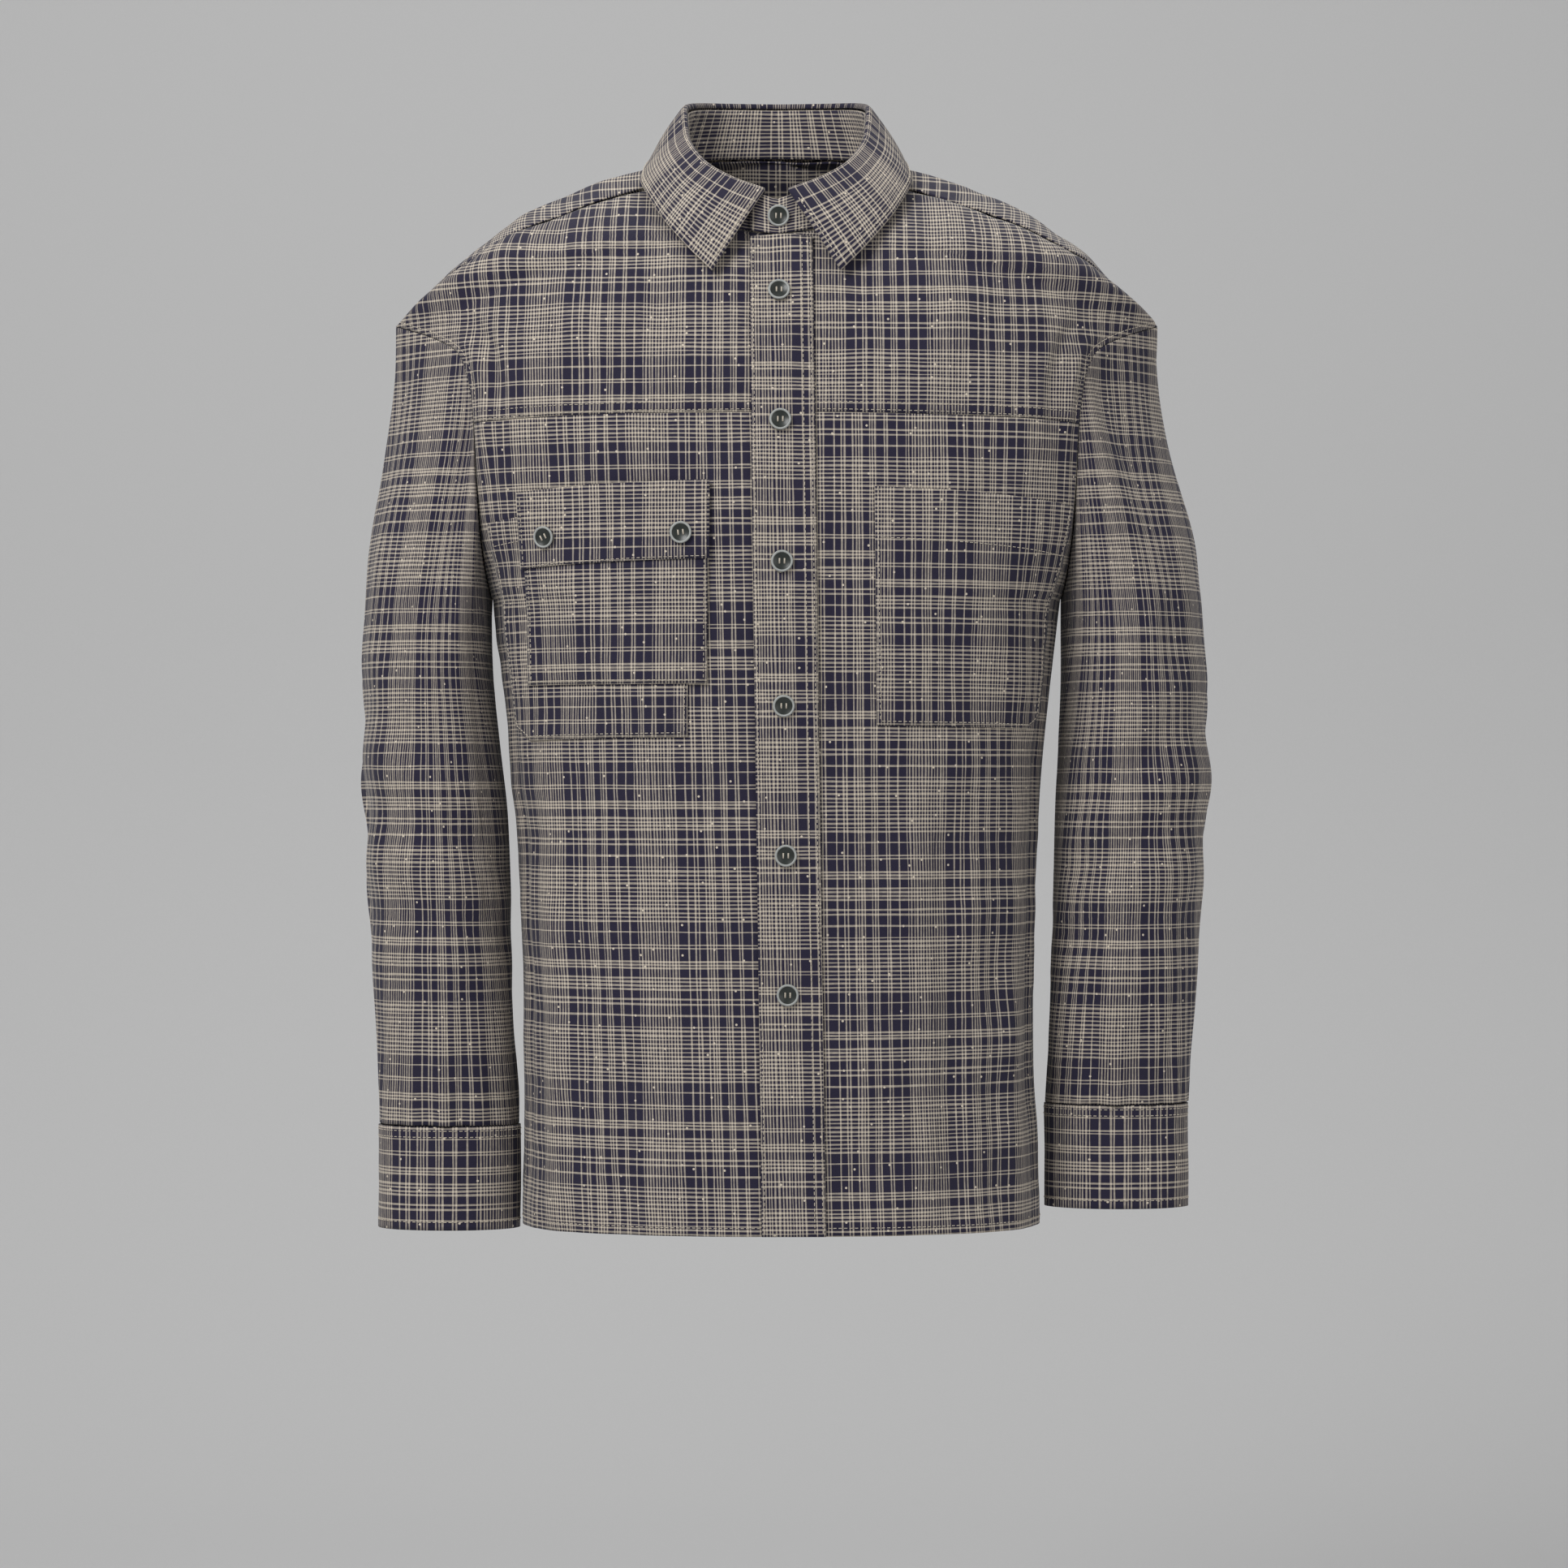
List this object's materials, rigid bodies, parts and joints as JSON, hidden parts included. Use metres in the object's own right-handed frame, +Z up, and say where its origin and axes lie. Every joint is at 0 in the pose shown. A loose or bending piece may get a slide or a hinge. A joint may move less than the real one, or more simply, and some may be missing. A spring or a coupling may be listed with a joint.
{
  "type": "long-sleeved button-front linen shirt",
  "caption": "Long-sleeved linen shirt in its hollow worn shape, with a turned-down collar, buttoned front strip, layered chest pockets, drop shoulders and buttoned cuffs",
  "frame": {"origin": "middle of the neck, level with the tops of the shoulders, where the wearer holds the shirt up", "axes": "+X to the wearer's left, +Y to the back, +Z up"},
  "size_m": [0.596, 0.2501, 0.8025],
  "materials": {
    "check_linen": "slubby plain-weave linen, navy and ecru check, matt",
    "button": "dark moulded four-hole buttons with a pale rim, satin"
  },
  "bodies": {
    "root": {"back_panel": "check_linen", "back_yoke": "check_linen", "button_1": "button", "button_2": "button", "button_3": "button", "button_4": "button", "button_5": "button", "button_6": "button", "button_placket": "check_linen", "button_stand": "button", "chest_pocket_left": "check_linen", "collar_leaf": "check_linen", "collar_stand": "check_linen", "cuff_button_left": "button", "cuff_button_right": "button", "cuff_left": "check_linen", "cuff_right": "check_linen", "flap_button_1": "button", "flap_button_2": "button", "lower_front_left": "check_linen", "lower_front_right": "check_linen", "pocket_back_patch": "check_linen", "pocket_flap": "check_linen", "pocket_front_patch": "check_linen", "sleeve_left": "check_linen", "sleeve_right": "check_linen", "upper_front_left": "check_linen", "upper_front_right": "check_linen"}
  },
  "joints": []
}
